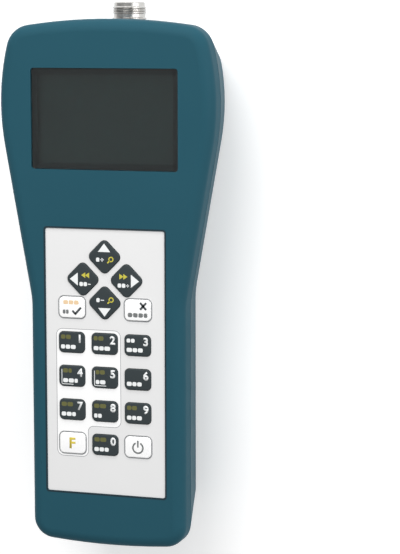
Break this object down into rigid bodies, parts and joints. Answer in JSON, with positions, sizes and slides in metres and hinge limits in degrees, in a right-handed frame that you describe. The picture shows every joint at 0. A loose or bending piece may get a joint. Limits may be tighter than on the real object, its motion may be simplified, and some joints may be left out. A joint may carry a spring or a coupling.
{
  "type": "antenna analyzer",
  "caption": "Handheld antenna analyzer in a waisted two-part housing, with a display window, a keypad, a threaded socket at its end and a sliding battery door.",
  "frame": {"origin": "middle of the whole length and width, on the plane the back lies on", "axes": "+Z out of the display face, +Y along the length to the socket's end, +X to the right as the keypad is read"},
  "size_m": [0.1036, 0.2508, 0.0552],
  "materials": {
    "housing_teal": "satin textured moulding",
    "door_teal": "satin textured moulding",
    "window_glass": "clear, dark behind",
    "gasket_foam": "dull foam",
    "display_body": "dark display",
    "ribbon_film": "amber film",
    "overlay_film": "pale grey film",
    "dome_steel": "thin spring steel",
    "board_green": "solder mask",
    "screw_steel": "plated steel",
    "shield_tin": "tinned sheet",
    "header_black": "black moulding",
    "chip_black": "black epoxy",
    "socket_plating": "nickel plate",
    "insulator_white": "white fluoropolymer",
    "contact_gold": "gold plate",
    "cell_sleeve": "printed sleeve",
    "spring_nickel": "nickel plated strip",
    "lead_red": "soft sleeve",
    "key_dark": "charcoal film key",
    "key_white": "white film key"
  },
  "bodies": {
    "housing": {"front_cover": "housing_teal", "rear_cover": "housing_teal", "display_window": "window_glass", "display_gasket": "gasket_foam", "display_module": "display_body", "display_ribbon": "ribbon_film", "keypad_overlay": "overlay_film", "key_domes": "dome_steel", "main_board": "board_green", "main_board_screws": "screw_steel", "rf_board": "board_green", "rf_board_screws": "screw_steel", "rf_shield": "shield_tin", "board_link": "header_black", "processor": "chip_black", "radio_module": "shield_tin", "buzzer": "header_black", "usb_socket": "shield_tin", "rf_jack": "socket_plating", "rf_insulator": "insulator_white", "rf_contact": "contact_gold", "rf_washer": "socket_plating", "rf_nut": "socket_plating", "battery_cell_1": "cell_sleeve", "battery_cell_2": "cell_sleeve", "battery_cell_3": "cell_sleeve", "battery_plates": "spring_nickel", "battery_springs": "spring_nickel", "battery_leads": "lead_red", "case_screws": "screw_steel"},
    "door": {"battery_door": "door_teal"},
    "button_up": {"key_up": "key_dark"},
    "button_down": {"key_down": "key_dark"},
    "button_left": {"key_left": "key_dark"},
    "button_right": {"key_right": "key_dark"},
    "button_ok": {"key_ok": "key_white"},
    "button_cancel": {"key_cancel": "key_white"},
    "button_1": {"key_1": "key_dark"},
    "button_2": {"key_2": "key_dark"},
    "button_3": {"key_3": "key_dark"},
    "button_4": {"key_4": "key_dark"},
    "button_5": {"key_5": "key_dark"},
    "button_6": {"key_6": "key_dark"},
    "button_7": {"key_7": "key_dark"},
    "button_8": {"key_8": "key_dark"},
    "button_9": {"key_9": "key_dark"},
    "button_0": {"key_0": "key_dark"},
    "button_function": {"key_function": "key_white"},
    "button_power": {"key_power": "key_white"}
  },
  "joints": [
    {"name": "door_slide", "type": "slide", "parent": "housing", "child": "door", "axis": [0, -1, 0], "range_m": [0, 0.075]},
    {"name": "press_up", "type": "slide", "parent": "housing", "child": "button_up", "axis": [0, 0, -1], "range_m": [0, 0.0005], "stiffness_N_per_m": 2500, "springref_m": -0.0004},
    {"name": "press_down", "type": "slide", "parent": "housing", "child": "button_down", "axis": [0, 0, -1], "range_m": [0, 0.0005], "stiffness_N_per_m": 2500, "springref_m": -0.0004},
    {"name": "press_left", "type": "slide", "parent": "housing", "child": "button_left", "axis": [0, 0, -1], "range_m": [0, 0.0005], "stiffness_N_per_m": 2500, "springref_m": -0.0004},
    {"name": "press_right", "type": "slide", "parent": "housing", "child": "button_right", "axis": [0, 0, -1], "range_m": [0, 0.0005], "stiffness_N_per_m": 2500, "springref_m": -0.0004},
    {"name": "press_ok", "type": "slide", "parent": "housing", "child": "button_ok", "axis": [0, 0, -1], "range_m": [0, 0.0005], "stiffness_N_per_m": 2500, "springref_m": -0.0004},
    {"name": "press_cancel", "type": "slide", "parent": "housing", "child": "button_cancel", "axis": [0, 0, -1], "range_m": [0, 0.0005], "stiffness_N_per_m": 2500, "springref_m": -0.0004},
    {"name": "press_1", "type": "slide", "parent": "housing", "child": "button_1", "axis": [0, 0, -1], "range_m": [0, 0.0005], "stiffness_N_per_m": 2500, "springref_m": -0.0004},
    {"name": "press_2", "type": "slide", "parent": "housing", "child": "button_2", "axis": [0, 0, -1], "range_m": [0, 0.0005], "stiffness_N_per_m": 2500, "springref_m": -0.0004},
    {"name": "press_3", "type": "slide", "parent": "housing", "child": "button_3", "axis": [0, 0, -1], "range_m": [0, 0.0005], "stiffness_N_per_m": 2500, "springref_m": -0.0004},
    {"name": "press_4", "type": "slide", "parent": "housing", "child": "button_4", "axis": [0, 0, -1], "range_m": [0, 0.0005], "stiffness_N_per_m": 2500, "springref_m": -0.0004},
    {"name": "press_5", "type": "slide", "parent": "housing", "child": "button_5", "axis": [0, 0, -1], "range_m": [0, 0.0005], "stiffness_N_per_m": 2500, "springref_m": -0.0004},
    {"name": "press_6", "type": "slide", "parent": "housing", "child": "button_6", "axis": [0, 0, -1], "range_m": [0, 0.0005], "stiffness_N_per_m": 2500, "springref_m": -0.0004},
    {"name": "press_7", "type": "slide", "parent": "housing", "child": "button_7", "axis": [0, 0, -1], "range_m": [0, 0.0005], "stiffness_N_per_m": 2500, "springref_m": -0.0004},
    {"name": "press_8", "type": "slide", "parent": "housing", "child": "button_8", "axis": [0, 0, -1], "range_m": [0, 0.0005], "stiffness_N_per_m": 2500, "springref_m": -0.0004},
    {"name": "press_9", "type": "slide", "parent": "housing", "child": "button_9", "axis": [0, 0, -1], "range_m": [0, 0.0005], "stiffness_N_per_m": 2500, "springref_m": -0.0004},
    {"name": "press_0", "type": "slide", "parent": "housing", "child": "button_0", "axis": [0, 0, -1], "range_m": [0, 0.0005], "stiffness_N_per_m": 2500, "springref_m": -0.0004},
    {"name": "press_function", "type": "slide", "parent": "housing", "child": "button_function", "axis": [0, 0, -1], "range_m": [0, 0.0005], "stiffness_N_per_m": 2500, "springref_m": -0.0004},
    {"name": "press_power", "type": "slide", "parent": "housing", "child": "button_power", "axis": [0, 0, -1], "range_m": [0, 0.0005], "stiffness_N_per_m": 2500, "springref_m": -0.0004}
  ]
}
